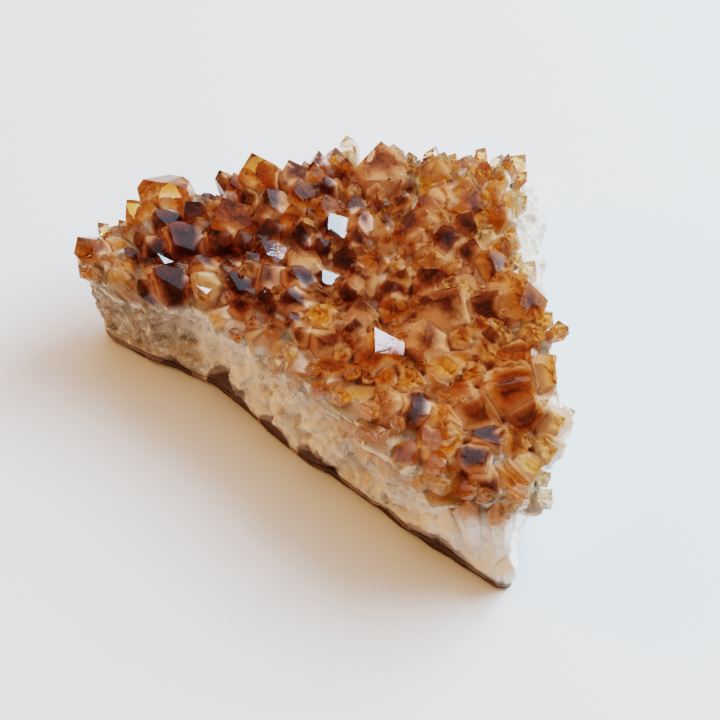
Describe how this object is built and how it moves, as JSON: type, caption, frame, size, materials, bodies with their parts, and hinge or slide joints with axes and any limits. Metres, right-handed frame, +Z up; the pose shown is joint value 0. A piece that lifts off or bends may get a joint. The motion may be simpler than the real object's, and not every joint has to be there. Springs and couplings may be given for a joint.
{
  "type": "citrine cluster",
  "caption": "Three-cornered slab of milky quartz with a bed of pointed amber citrine crystals on top and a thin basalt skin below.",
  "frame": {"origin": "middle of the underside's box, on the surface the piece rests on", "axes": "+X along the long broken front face to its right-hand tip, +Y to the back corner, +Z up out of the bed of crystals"},
  "size_m": [0.164, 0.1372, 0.0491],
  "materials": {
    "citrine": "clear amber crystal with glassy faces, dark at the tips and frosted at the base",
    "milky_quartz": "broken, cloudy cream-white quartz with sugary grain",
    "basalt": "dull dark brown rock with a purple-grey agate band"
  },
  "bodies": {
    "root": {"citrine_crystals": "citrine", "quartz_matrix": "milky_quartz", "basalt_rind": "basalt"}
  },
  "joints": []
}
